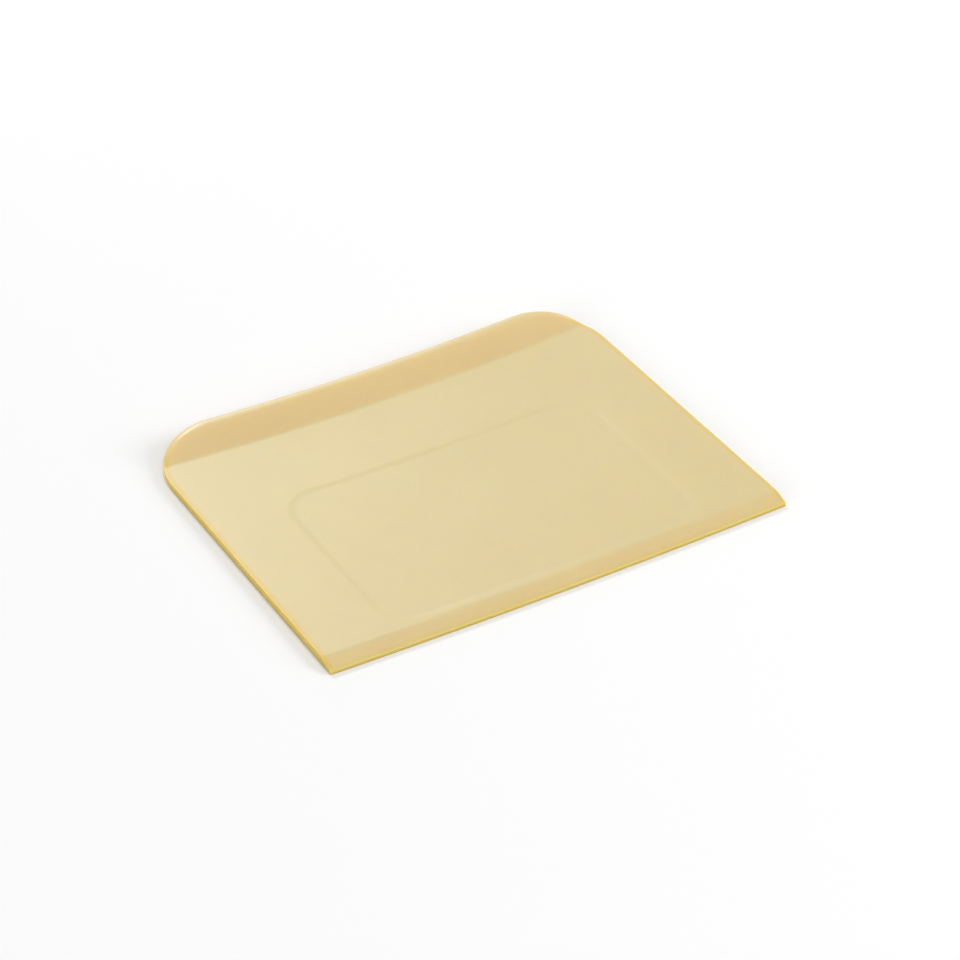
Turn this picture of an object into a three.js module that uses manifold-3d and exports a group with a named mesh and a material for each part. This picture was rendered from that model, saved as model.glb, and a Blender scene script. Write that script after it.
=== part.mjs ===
// Hand squeegee applicator: one injection-moulded card of translucent yellow plastic.
// A flat plate thins to a bevelled working edge at the front, and carries a raised grip lip along
// its back edge. The top face has a shallow panel with round corners.
//
// Millimetres. +X runs along the working edge, +Y from the working edge to the grip lip and +Z up.
// The origin lies on the flat underside, below the middle of the part.

import * as THREE from 'three';
import { mergeVertices } from 'three/addons/utils/BufferGeometryUtils.js';
import Module from 'manifold-3d';

// Plan
const width = 101.6;            // along the working edge
const depth = 80.8;             // from the working edge to the grip edge, at their ends
const sideTaper = 1;            // each side comes in by this much from the working edge to the grip edge
const backCornerRadius = 15;
const frontCornerRadius = 0.3;
const workingEdgeBow = 0.8;     // the working edge's middle stands this far in front of its ends
const gripEdgeBow = 2.55;       // the grip edge's middle lies this far in front of its ends

// Side profile
const workingEdgeThickness = 0.8;
const bevelDepth = 3.4;         // from the working edge to the full thickness of the plate
const plateFrontThickness = 1.8;
const plateBackThickness = 1.5;
const lipHeight = 4.7;          // crest of the lip above the underside
const lipDepth = 8.7;           // from the foot of the lip to its back face
const lipSlope = 32.9;          // degrees, the lip's front face above the level
const lipCrestRadius = 2.9;
const lipFootRadius = 3.5;      // hollow fillet between the plate and the lip

// Panel in the top face
const panelWidth = 70;
const panelFront = -35;         // its front and back edges, along Y
const panelBack = 11;
const panelCornerRadius = 7;
const panelDepth = 0.1;

// Fineness
const bowSteps = 24;            // straight stretches of a bowed edge
const arcSteps = 12;            // straight stretches of a round corner
const cutterMargin = 2;         // how far a cutting solid stands clear of what it cuts

const halfDepth = depth / 2;

// Where a point of the straight plan, a plain rectangle, lies in the part. Lines across the width
// shrink evenly towards the grip edge and bow to the front as parabolas, from the working edge's bow
// to the grip edge's.
function planPoint(x, y) {
  const towardsGrip = y / depth + 0.5;
  const shrink = 1 - towardsGrip * 2 * sideTaper / width;
  const middleShift = THREE.MathUtils.lerp(workingEdgeBow, gripEdgeBow, towardsGrip);
  return new THREE.Vector2(x * shrink, y - middleShift * (1 - (2 * x / width) ** 2));
}

// Height of the plate's top face, which falls evenly from the bevel to the foot of the lip.
function plateTop(y) {
  const bevelTop = -halfDepth + bevelDepth;
  const lipFoot = halfDepth - lipDepth;
  return THREE.MathUtils.mapLinear(y, bevelTop, lipFoot, plateFrontThickness, plateBackThickness);
}

// The side profile, drawn with Y across the page and Z up it.
function sideProfile() {
  const slope = THREE.MathUtils.degToRad(lipSlope);
  const plateFall = Math.atan(plateTop(0) - plateTop(1));
  const lipFoot = halfDepth - lipDepth;
  const crestY = halfDepth - lipCrestRadius;
  const crestZ = lipHeight - lipCrestRadius;
  // The foot's arc touches the plate and the slope, at equal distances from where they would meet.
  const footTouch = lipFootRadius * Math.tan((slope + plateFall) / 2);
  const footStart = lipFoot - footTouch * Math.cos(plateFall);
  const footCentreY = footStart + lipFootRadius * Math.sin(plateFall);
  const footCentreZ = plateTop(footStart) + lipFootRadius * Math.cos(plateFall);

  const profile = new THREE.Shape();
  profile.moveTo(-halfDepth, 0);
  profile.lineTo(halfDepth, 0);
  profile.absarc(crestY, crestZ, lipCrestRadius, 0, Math.PI / 2 + slope, false);
  profile.absarc(
    footCentreY, footCentreZ, lipFootRadius, -Math.PI / 2 + slope, -Math.PI / 2 - plateFall, true,
  );
  profile.lineTo(-halfDepth + bevelDepth, plateFrontThickness);
  profile.lineTo(-halfDepth, workingEdgeThickness);
  profile.closePath();
  return profile;
}

// A rectangle with round corners in the straight plan, carried into the part's plan.
function planRectangle(rectangleWidth, front, back, frontRadius, backRadius) {
  const side = rectangleWidth / 2;
  const outline = new THREE.Shape();
  const edge = (fromX, toX, y) => {
    for (let i = 0; i <= bowSteps; i++) {
      outline.lineTo(THREE.MathUtils.lerp(fromX, toX, i / bowSteps), y);
    }
  };
  outline.moveTo(-side + frontRadius, front);
  edge(-side + frontRadius, side - frontRadius, front);
  outline.absarc(side - frontRadius, front + frontRadius, frontRadius, -Math.PI / 2, 0, false);
  outline.absarc(side - backRadius, back - backRadius, backRadius, 0, Math.PI / 2, false);
  edge(side - backRadius, -side + backRadius, back);
  outline.absarc(-side + backRadius, back - backRadius, backRadius, Math.PI / 2, Math.PI, false);
  outline.absarc(-side + frontRadius, front + frontRadius, frontRadius, Math.PI, 1.5 * Math.PI, false);
  return new THREE.Shape(outline.getPoints(arcSteps).map((p) => planPoint(p.x, p.y)));
}

// The side profile carried across the width and a little past it, with the plan's taper and bow.
function profileBlank() {
  const length = width + 2 * cutterMargin;
  const geometry = new THREE.ExtrudeGeometry(sideProfile(), {
    depth: length, steps: bowSteps, curveSegments: arcSteps, bevelEnabled: false,
  });
  geometry.translate(0, 0, -length / 2);
  geometry.applyMatrix4(new THREE.Matrix4().makeBasis(
    new THREE.Vector3(0, 1, 0), new THREE.Vector3(0, 0, 1), new THREE.Vector3(1, 0, 0),
  ));
  const position = geometry.getAttribute('position');
  for (let i = 0; i < position.count; i++) {
    const point = planPoint(position.getX(i), position.getY(i));
    position.setXY(i, point.x, point.y);
  }
  return geometry;
}

// The plan outline as a prism that reaches past the underside and the crest.
function planPrism() {
  const outline = planRectangle(width, -halfDepth, halfDepth, frontCornerRadius, backCornerRadius);
  const height = lipHeight + 2 * cutterMargin;
  const geometry = new THREE.ExtrudeGeometry(outline, { depth: height, bevelEnabled: false });
  geometry.translate(0, 0, -cutterMargin);
  return geometry;
}

// The solid that cuts the panel: its lower face runs below the plate's top face, parallel to it.
function panelCutter() {
  const outline = planRectangle(
    panelWidth, panelFront, panelBack, panelCornerRadius, panelCornerRadius,
  );
  const geometry = new THREE.ExtrudeGeometry(outline, { depth: lipHeight, bevelEnabled: false });
  const position = geometry.getAttribute('position');
  for (let i = 0; i < position.count; i++) {
    if (position.getZ(i) === 0) {
      position.setZ(i, plateTop(position.getY(i)) - panelDepth);
    }
  }
  return geometry;
}

const manifold = await Module();
manifold.setup();

function toSolid(geometry) {
  geometry.deleteAttribute('normal');
  geometry.deleteAttribute('uv');
  const merged = mergeVertices(geometry);
  return new manifold.Manifold(new manifold.Mesh({
    numProp: 3,
    vertProperties: new Float32Array(merged.getAttribute('position').array),
    triVerts: new Uint32Array(merged.getIndex().array),
  }));
}

function toGeometry(solid) {
  const mesh = solid.getMesh();
  const geometry = new THREE.BufferGeometry();
  geometry.setAttribute('position', new THREE.BufferAttribute(mesh.vertProperties, 3));
  geometry.setIndex(new THREE.BufferAttribute(mesh.triVerts, 1));
  geometry.computeVertexNormals();
  return geometry;
}

const translucentYellow = new THREE.MeshStandardMaterial({
  name: 'translucent_yellow_plastic', color: 0xe6cf95, roughness: 0.35, metalness: 0,
});

const bladeSolid = toSolid(profileBlank())
  .intersect(toSolid(planPrism()))
  .subtract(toSolid(panelCutter()));
const bladeGeometry = toGeometry(bladeSolid);
bladeGeometry.computeBoundingBox();
const { min, max } = bladeGeometry.boundingBox;
bladeGeometry.translate(0, -(min.y + max.y) / 2, 0);

const blade = new THREE.Mesh(bladeGeometry, translucentYellow);
blade.name = 'squeegee_blade';

const applicator = new THREE.Group();
applicator.add(blade);

export default applicator;
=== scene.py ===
import bpy
import numpy as np
from mathutils import Matrix, Vector


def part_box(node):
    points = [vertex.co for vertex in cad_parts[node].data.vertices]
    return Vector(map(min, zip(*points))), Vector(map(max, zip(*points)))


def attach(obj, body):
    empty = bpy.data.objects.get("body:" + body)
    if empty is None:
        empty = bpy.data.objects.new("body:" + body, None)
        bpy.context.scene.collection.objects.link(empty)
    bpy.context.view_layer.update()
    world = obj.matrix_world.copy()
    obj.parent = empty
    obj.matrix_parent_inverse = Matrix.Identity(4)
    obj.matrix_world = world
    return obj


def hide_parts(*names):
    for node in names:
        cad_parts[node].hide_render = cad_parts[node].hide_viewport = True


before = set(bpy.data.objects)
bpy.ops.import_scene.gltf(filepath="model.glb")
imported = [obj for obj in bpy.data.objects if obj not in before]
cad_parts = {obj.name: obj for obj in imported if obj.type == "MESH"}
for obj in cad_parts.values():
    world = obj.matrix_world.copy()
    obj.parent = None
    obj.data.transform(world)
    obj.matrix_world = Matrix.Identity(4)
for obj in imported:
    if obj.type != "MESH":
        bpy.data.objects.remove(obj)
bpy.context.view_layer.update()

# ---------------------------------------------------------------------------------------------
# The blade card
# One injection moulding in semi-rigid translucent yellow plastic: a flat plate with a bevelled
# working edge in front, a raised grip lip behind and a shallow panel in its top face.
# Its side walls and edges are softened as a mould leaves them, most at the crest of the lip.
# ---------------------------------------------------------------------------------------------

MM = 0.001

low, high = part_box("squeegee_blade")
HAIR = 0.02                                # the skin lies this far inside the solid's box
width = (high.x - low.x) / MM - 2 * HAIR

depth = 80.8                               # working edge to grip edge, at their ends
side_taper = 1.0                           # each side comes in this much towards the grip edge
working_edge_bow = 0.8                     # the working edge's middle stands forward
grip_edge_bow = 2.55                       # the grip edge's middle lies forward too
back_corner_radius = 15.0
front_corner_radius = 0.3
front, back = -depth / 2 + HAIR, depth / 2 - HAIR
plan_shift = low.y / MM + depth / 2 + working_edge_bow

working_edge_thickness = 0.8
bevel_depth = 3.4
plate_front_thickness = 1.8
plate_back_thickness = 1.5
bevel_top = -depth / 2 + bevel_depth
lip_foot = depth / 2 - 8.7
lip_slope = np.tan(np.radians(32.9))
bevel_softness = 0.25                      # how far the bevel's two faces melt together
foot_softness = 0.7                        # the same for the plate and the lip

panel_side = 35.0
panel_front, panel_back = -35.0, 11.0
panel_radius = 7.0
panel_depth = 0.1
panel_wall = 1.8                           # width of the panel's sloping rim

side_edge_radius = 0.15
working_edge_radius = 0.2
crest_radius = 2.9
underside_edge_radius = 0.08
painted_glow_reach = 1.3                           # how far the walls' painted deep colour, for light travelling through the plastic, reaches into the top

rim_rings = 12                             # steps of the quarter round from the top to the wall
underside_rings = 5                        # and of the one from the wall to the underside


def runs(*stretches):
    """Values along a line: each stretch (start, end, count) gives count even steps from its start,
    and the last stretch's end closes the line."""
    steps = [np.linspace(a, b, n, endpoint=False) for a, b, n in stretches]
    return np.concatenate(steps + [[stretches[-1][1]]])


def soft_max(a, b, softness):
    """The larger of two heights, plus a parabola where they come within softness of each other."""
    near = np.maximum(softness - np.abs(a - b), 0)
    return np.maximum(a, b) + near**2 / (4 * softness)


def panel_sink(x, v):
    """Depth of the panel at a plan point: the signed distance to a rectangle with round corners,
    carried through a smooth step as wide as the panel's rim."""
    centre = (panel_front + panel_back) / 2
    reach = (panel_back - panel_front) / 2
    dx = np.abs(x) - (panel_side - panel_radius)
    dv = np.abs(v - centre) - (reach - panel_radius)
    outside = np.hypot(np.maximum(dx, 0), np.maximum(dv, 0)) + np.minimum(np.maximum(dx, dv), 0)
    t = np.clip((panel_radius - outside) / panel_wall + 0.5, 0, 1)
    return panel_depth * t * t * (3 - 2 * t)


def top_height(x, v):
    """Height of the top face: the bevel and the plate meet in a soft minimum, the plate and the lip
    in a soft maximum, and the panel is sunk into the plate."""
    fall = (plate_back_thickness - plate_front_thickness) / (lip_foot - bevel_top)
    plate = plate_front_thickness + fall * (v - bevel_top)
    rise = (plate_front_thickness - working_edge_thickness) / bevel_depth
    bevel = working_edge_thickness + rise * (v + depth / 2)
    crest = plate_back_thickness + lip_slope * (v - lip_foot)
    body = soft_max(plate, crest, foot_softness)
    return -soft_max(-body, -bevel, bevel_softness) - panel_sink(x, v)


def place(x, v, z):
    """Straight plan to the part's own frame, in metres: lines across the width shrink evenly from the
    working edge to the grip edge, and are bowed to the front by a parabola that grows as evenly."""
    towards_grip = v / depth + 0.5
    shrink = 1 - towards_grip * 2 * side_taper / width
    bow = working_edge_bow + (grip_edge_bow - working_edge_bow) * towards_grip
    y = v - bow * (1 - (2 * x / (width + 2 * HAIR)) ** 2) + plan_shift
    return np.stack([x * shrink, y, z], axis=-1) * MM


def outline(turn_front, straight, turn_back):
    """Right-hand half of the plan outline, from front to back: its point, its outward normal and the
    radius of its top edge. The corners are quarter circles and the side is straight between them.
    Past the lip's foot the radius grows evenly along the depth to the crest's."""
    side = width / 2
    front_angle = np.radians(turn_front)
    back_angle = np.radians(turn_back)
    x = np.concatenate([
        side - front_corner_radius * (1 - np.cos(front_angle)),
        np.full(len(straight), side),
        side - back_corner_radius * (1 - np.cos(back_angle)),
    ])
    v = np.concatenate([
        front + front_corner_radius * (1 + np.sin(front_angle)),
        straight,
        back - back_corner_radius * (1 - np.sin(back_angle)),
    ])
    normal_x = np.concatenate([np.cos(front_angle), np.ones(len(straight)), np.cos(back_angle)])
    normal_v = np.concatenate([np.sin(front_angle), np.zeros(len(straight)), np.sin(back_angle)])
    lip_share = np.clip((v - lip_foot) / (back - lip_foot), 0, 1)
    radius = side_edge_radius + (crest_radius - side_edge_radius) * lip_share
    radius += (working_edge_radius - side_edge_radius) * np.clip(-normal_v, 0, 1)
    return x, v, normal_x, normal_v, radius


def card_mesh():
    """The card as one closed skin on two grids. The top and the underside are grids of rows across the
    width, each row reaching to the edge's tangent line; the rim is a grid of loops round the outline,
    from the top's last loop over a quarter round, down the wall and under to the underside.
    Rows and columns crowd where the surface turns: at the bevel, the panel's rim and the corners."""
    bevel_before, bevel_past = bevel_top - 0.9, bevel_top + 1.0
    panel_start, panel_end = panel_front + panel_radius, panel_back - panel_radius - 0.2
    panel_past = panel_back + 1.0
    straight = runs(
        (front + front_corner_radius, bevel_before, 6), (bevel_before, bevel_past, 16),
        (bevel_past, panel_start, 44), (panel_start, panel_end, 14),
        (panel_end, panel_past, 44), (panel_past, back - back_corner_radius, 10),
    )[1:-1]
    turn_front = runs((-90, 0, 6))
    turn_back = runs((0, 20, 14), (20, 34, 22), (34, 90, 36))
    edge_x, edge_v, normal_x, normal_v, radius = outline(turn_front, straight, turn_back)

    # Where the quarter round leaves the top face: its normal starts past upright by the face's slope.
    probe = 0.01
    inset = radius
    for _ in range(4):
        top_x, top_v = edge_x - inset * normal_x, edge_v - inset * normal_v
        slope = (top_height(top_x, top_v + probe) - top_height(top_x, top_v - probe)) / (2 * probe)
        tilt = np.arctan(slope * normal_v)
        inset = radius * (1 + np.sin(tilt))

    rim_inner, rim_outer = panel_side - panel_radius - 0.2, panel_side + 1.2
    border, column_side = 49.1, 50.5
    half = runs(
        (0, rim_inner, 12), (rim_inner, rim_outer, 44), (rim_outer, border, 9), (border, column_side, 4),
    ) / column_side
    across = np.concatenate([-half[:0:-1], half])
    rows, columns = len(edge_v), len(across)

    def sheet(row_x, row_v, height):
        x = row_x[:, None] * across[None, :]
        v = np.broadcast_to(row_v[:, None], x.shape)
        return np.stack([x, v, height(x, v)], axis=-1).reshape(-1, 3)

    top = sheet(top_x, top_v, top_height)
    under_x = edge_x - underside_edge_radius * normal_x
    under_v = edge_v - underside_edge_radius * normal_v
    under = sheet(under_x, under_v, lambda x, v: np.zeros_like(x))

    # The loop of grid points round the rim, anticlockwise from the left end of the working edge.
    index = np.arange(rows * columns).reshape(rows, columns)
    loop = np.concatenate([index[0], index[1:, -1], index[-1, -2::-1], index[-2:0:-1, 0]])
    row_of, column_of = loop // columns, loop % columns
    hand = np.select([column_of == 0, column_of == columns - 1], [-1.0, 1.0], 0.0)
    end_row = (row_of == 0) | (row_of == rows - 1)
    out_x = np.where(end_row, 0.0, hand * normal_x[row_of])
    out_v = np.where(end_row, np.sign(normal_v[row_of]), normal_v[row_of])
    rim_x = top[loop, 0] + inset[row_of] * out_x
    rim_v = edge_v[row_of]
    rim_radius = radius[row_of]
    rim_tilt = tilt[row_of]
    round_z = top[loop, 2] - rim_radius * np.cos(rim_tilt)

    def ring(step_in, z):
        level = np.broadcast_to(z, rim_x.shape)
        return np.stack([rim_x - step_in * out_x, rim_v - step_in * out_v, level], axis=-1)

    top_turn = [(np.pi / 2 + rim_tilt) * share for share in np.linspace(1, 0, rim_rings + 1)[1:]]
    rings = [ring(rim_radius * (1 - np.cos(t)), round_z + rim_radius * np.sin(t)) for t in top_turn]
    wall_low = underside_edge_radius
    rings += [ring(0, round_z + (wall_low - round_z) * share) for share in (0.15, 0.85)]
    under_turn = np.linspace(0, np.pi / 2, underside_rings + 1)[:-1]
    rings += [ring(wall_low * (1 - np.cos(t)), wall_low * (1 - np.sin(t))) for t in under_turn]

    points = np.concatenate([top] + rings + [under])
    quads_up = np.stack([index[:-1, :-1], index[:-1, 1:], index[1:, 1:], index[1:, :-1]], -1)
    quads_down = quads_up[..., ::-1] + len(top) + len(rings) * len(loop)
    levels = [loop]
    levels += [len(top) + k * len(loop) + np.arange(len(loop)) for k in range(len(rings))]
    levels.append(loop + len(top) + len(rings) * len(loop))
    levels = np.array(levels)
    ahead = np.roll(levels, -1, axis=1)
    quads_rim = np.stack([levels[1:], ahead[1:], ahead[:-1], levels[:-1]], -1)
    quads = np.concatenate([q.reshape(-1, 4) for q in (quads_up, quads_rim, quads_down)])

    # How much of the walls' painted deep colour each point takes, standing in for light that travels
    # further through the plastic: its nearness to the side walls, 1 there and 0 from the glow's reach
    # inwards, or to the working edge, whose wall is half as high and counts half.
    x, v = points[:, 0], points[:, 1]
    from_side = (np.interp(v, edge_v, edge_x) - np.abs(x)) * np.interp(v, edge_v, normal_x)
    near_side = np.clip(1 - from_side / painted_glow_reach, 0, 1)
    near_front = np.clip(1 - (v - front) / painted_glow_reach, 0, 1)
    lip_share = np.clip((v - lip_foot) / (back - lip_foot), 0, 1)
    painted_glow_share = np.maximum(near_side, near_front / 2) * (1 - lip_share)
    return place(*points.T), quads, painted_glow_share


def solid_mesh(name, points, quads):
    """A mesh from an array of points and an array of four-sided faces, shaded smooth."""
    mesh = bpy.data.meshes.new(name)
    mesh.vertices.add(len(points))
    mesh.vertices.foreach_set("co", points.astype(np.float32).ravel())
    mesh.loops.add(quads.size)
    mesh.loops.foreach_set("vertex_index", quads.astype(np.int32).ravel())
    mesh.polygons.add(len(quads))
    mesh.polygons.foreach_set("loop_start", np.arange(0, quads.size, 4, dtype=np.int32))
    mesh.polygons.foreach_set("use_smooth", np.ones(len(quads), bool))
    mesh.update(calc_edges=True)
    mesh.validate()
    made = bpy.data.objects.new(name, mesh)
    bpy.context.scene.collection.objects.link(made)
    return made


def linear(code):
    """An sRGB hex colour as linear red, green, blue and alpha: the sRGB curve undone."""
    c = np.array([int(code[i:i + 2], 16) for i in (1, 3, 5)]) / 255
    c = np.where(c <= 0.04045, c / 12.92, ((c + 0.055) / 1.055) ** 2.4)
    return (*(float(v) for v in c), 1.0)


def add_node(tree, kind, inputs=None, **settings):
    """Adds one node: settings are its properties, and inputs gives each named or numbered socket a value
    or another node's output."""
    node = tree.nodes.new(kind)
    for key, value in settings.items():
        setattr(node, key, value)
    for key, value in (inputs or {}).items():
        if isinstance(value, bpy.types.NodeSocket):
            tree.links.new(value, node.inputs[key])
        else:
            node.inputs[key].default_value = value
    return node


def moulded_translucent_plastic():
    """Translucent semi-rigid plastic, injection moulded: light scatters through it, so thin places look
    pale over a white table. Painted light
    is added to its colour: a painted sheen makes the level plate paler, and painted glow and shade make
    the walls and the top's border beside them a deeper, darker yellow, for light that travels further
    through the plastic."""
    material = bpy.data.materials.new("moulded_translucent_plastic")
    material.use_nodes = True
    tree = material.node_tree
    tree.nodes.clear()
    place_at = add_node(tree, "ShaderNodeTexCoord").outputs["Object"]
    cloud_size = 22 * MM                   # patches of paler and deeper plastic
    ripple_size = 16 * MM                  # sink waves
    grain_size = 0.35 * MM                 # the mould's own texture

    cloud = add_node(tree, "ShaderNodeTexNoise", {
        "Vector": place_at, "Scale": 1 / cloud_size, "Detail": 2.0, "Roughness": 0.5,
    })
    # Painted sheen: by the skin's own slope, the level plate is painted a little paler than the bevel
    # and the lip.
    facing = add_node(tree, "ShaderNodeTexCoord").outputs["Normal"]
    upward = add_node(tree, "ShaderNodeSeparateXYZ", {0: facing}).outputs["Z"]
    level = add_node(tree, "ShaderNodeMath", {0: upward}, operation="ABSOLUTE")
    flat = add_node(tree, "ShaderNodeMapRange", {
        "Value": level.outputs["Value"], "From Min": 0.955, "From Max": 0.995,
    })
    tilted_tint = add_node(tree, "ShaderNodeMix", {
        "Factor": cloud.outputs["Fac"], "A": linear("#dcc28a"), "B": linear("#e0c891"),
    }, data_type="RGBA")
    plate_tint_painted_pale = add_node(tree, "ShaderNodeMix", {
        "Factor": cloud.outputs["Fac"], "A": linear("#d8c590"), "B": linear("#dccb97"),
    }, data_type="RGBA")
    # Mixes in the painted sheen: the paler plate colour where the skin lies level.
    tint_with_painted_sheen = add_node(tree, "ShaderNodeMix", {
        "Factor": flat.outputs["Result"], "A": tilted_tint.outputs["Result"],
        "B": plate_tint_painted_pale.outputs["Result"],
    }, data_type="RGBA")

    # Painted glow and shade: the walls, and the top's border beside them, are painted a deeper, darker
    # yellow for light that travels further through the plastic and for the walls' shade.
    painted_wall_glow = add_node(tree, "ShaderNodeAttribute", attribute_name="painted_wall_glow").outputs["Fac"]
    border = add_node(tree, "ShaderNodeMath", {0: painted_wall_glow, 1: 0.95}, operation="MULTIPLY")
    painted_wall_share = add_node(tree, "ShaderNodeMapRange", {
        "Value": level.outputs["Value"], "From Min": 0.8, "From Max": 0.3,
    })
    deep = add_node(tree, "ShaderNodeMath", {
        0: painted_wall_share.outputs["Result"], 1: border.outputs["Value"],
    }, operation="MAXIMUM")
    # Mixes in the painted glow and shade: deeper, darker yellow on the walls and on the border beside
    # them.
    colour_with_painted_light = add_node(tree, "ShaderNodeMix", {
        "Factor": deep.outputs["Value"], "A": tint_with_painted_sheen.outputs["Result"], "B": linear("#d2b458"),
    }, data_type="RGBA")

    grain = add_node(tree, "ShaderNodeTexNoise", {
        "Vector": place_at, "Scale": 1 / grain_size, "Detail": 1.0,
    })
    ripple = add_node(tree, "ShaderNodeTexNoise", {
        "Vector": place_at, "Scale": 1 / ripple_size, "Detail": 1.0,
    })
    waves = add_node(tree, "ShaderNodeBump", {
        "Height": ripple.outputs["Fac"], "Strength": 0.25, "Distance": 0.1 * MM,
    })
    skin = add_node(tree, "ShaderNodeBump", {
        "Height": grain.outputs["Fac"], "Strength": 0.2, "Distance": 0.01 * MM,
        "Normal": waves.outputs["Normal"],
    })
    gloss = add_node(tree, "ShaderNodeMapRange", {
        "Value": cloud.outputs["Fac"], "To Min": 0.32, "To Max": 0.4,
    })
    rubbed = add_node(tree, "ShaderNodeMapRange", {
        "Value": level.outputs["Value"], "From Min": 0.99, "From Max": 0.93, "To Max": 0.3,
    })
    roughness = add_node(tree, "ShaderNodeMath", {
        0: gloss.outputs["Result"], 1: rubbed.outputs["Result"],
    }, operation="ADD")
    shader = add_node(tree, "ShaderNodeBsdfPrincipled", {
        "Base Color": colour_with_painted_light.outputs["Result"], "Roughness": roughness.outputs["Value"],
        "Subsurface Weight": 1.0, "Subsurface Radius": (1.0, 0.8, 0.35),
        "Subsurface Scale": 2.5 * MM, "IOR": 1.49, "Specular IOR Level": 1.0,
        "Normal": skin.outputs["Normal"],
    }, subsurface_method="RANDOM_WALK")
    add_node(tree, "ShaderNodeOutputMaterial", {"Surface": shader.outputs["BSDF"]})
    return material


card_points, card_quads, card_painted_glow_share = card_mesh()
card = solid_mesh("blade_card", card_points, card_quads)
# Each point's share of the painted wall glow, for light that travels further through the plastic to the
# walls.
card.data.attributes.new("painted_wall_glow", "FLOAT", "POINT").data.foreach_set("value", card_painted_glow_share)
card.data.materials.append(moulded_translucent_plastic())
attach(card, "root")
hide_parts("squeegee_blade")

# ---------------------------------------------------------------------------------------------
# The table
# A plain white sweep that the card lies on, larger than any view of it.
# ---------------------------------------------------------------------------------------------

table_side = 2.0                           # metres from the middle to each side
table_gap = 0.03 * MM                      # keeps the table clear of the card's underside

table_corners = np.array([[-1, -1], [1, -1], [1, 1], [-1, 1]]) * table_side
table_points = np.column_stack([table_corners, np.full(4, -table_gap)])
table = solid_mesh("table", table_points, np.array([[0, 1, 2, 3]]))
paper = bpy.data.materials.new("matt_white_paper")
paper.use_nodes = True
paper_shader = paper.node_tree.nodes["Principled BSDF"]
paper_shader.inputs["Base Color"].default_value = linear("#f4f4f4")
paper_shader.inputs["Roughness"].default_value = 0.9
paper_shader.inputs["Specular IOR Level"].default_value = 0.0
table.data.materials.append(paper)

# ---------------------------------------------------------------------------------------------
# Light and camera
# A pale room and seven soft boxes: two behind the card for the plate and the shadow along the working
# edge, two whose reflections lay a pale sheen over the plate, the weaker of them close by for its back
# left, two in front that fill the lip and the walls, and one above.
# ---------------------------------------------------------------------------------------------

room = bpy.data.worlds.new("room")
room.use_nodes = True
room.node_tree.nodes["Background"].inputs["Color"].default_value = (1.0, 1.0, 1.0, 1.0)
room.node_tree.nodes["Background"].inputs["Strength"].default_value = 0.22
bpy.context.scene.world = room


def soft_box(name, azimuth, elevation, distance, size, power, mirrored=True):
    """A square area light on a sphere round the origin, turned to face it. Azimuth runs from +X to +Y.
    One that isn't mirrored leaves no reflection, as if behind a polariser."""
    a, e = np.radians(azimuth), np.radians(elevation)
    lamp = bpy.data.lights.new(name, "AREA")
    lamp.size = size
    lamp.energy = power
    made = bpy.data.objects.new(name, lamp)
    made.location = distance * Vector((np.cos(a) * np.cos(e), np.sin(a) * np.cos(e), np.sin(e)))
    made.rotation_euler = made.location.to_track_quat("Z", "Y").to_euler()
    made.visible_glossy = mirrored
    bpy.context.scene.collection.objects.link(made)
    return made


soft_box("back_soft_box", azimuth=88, elevation=38, distance=1.2, size=0.35, power=5.5)
soft_box("backdrop_glow", azimuth=75, elevation=8, distance=1.2, size=0.5, power=2)
soft_box("sheen_card", azimuth=72.4, elevation=35.2, distance=0.514, size=0.2, power=0.08)
soft_box("sheen_soft_box", azimuth=59, elevation=35, distance=1.2, size=0.6, power=0.6)
soft_box(
    "front_left_fill", azimuth=197, elevation=20, distance=1.2, size=0.6, power=5.5, mirrored=False,
)
soft_box(
    "front_right_fill", azimuth=325, elevation=25, distance=1.2, size=0.6, power=8.5, mirrored=False,
)
soft_box("top_soft_box", azimuth=280, elevation=60, distance=1.2, size=0.6, power=4)

camera_data = bpy.data.cameras.new("camera")
camera_data.lens = 149.61
camera_data.sensor_width = 36.0
camera_data.clip_start = 0.01
camera = bpy.data.objects.new("camera", camera_data)
camera_heading, camera_height = np.radians([30.744, 36.662])
camera_distance = 0.78515
camera_aim = Vector((3.746 * MM, (plan_shift - 2.524) * MM, 0))
towards_camera = Vector((
    -np.sin(camera_heading) * np.cos(camera_height),
    -np.cos(camera_heading) * np.cos(camera_height),
    np.sin(camera_height),
))
camera_right = Vector((np.cos(camera_heading), -np.sin(camera_heading), 0))
camera_up = towards_camera.cross(camera_right)
camera_turn = Matrix((camera_right, camera_up, towards_camera)).transposed()
camera_place = camera_aim + camera_distance * towards_camera
camera.matrix_world = Matrix.Translation(camera_place) @ camera_turn.to_4x4()
bpy.context.scene.collection.objects.link(camera)
bpy.context.scene.camera = camera
bpy.context.scene.view_settings.view_transform = "Standard"
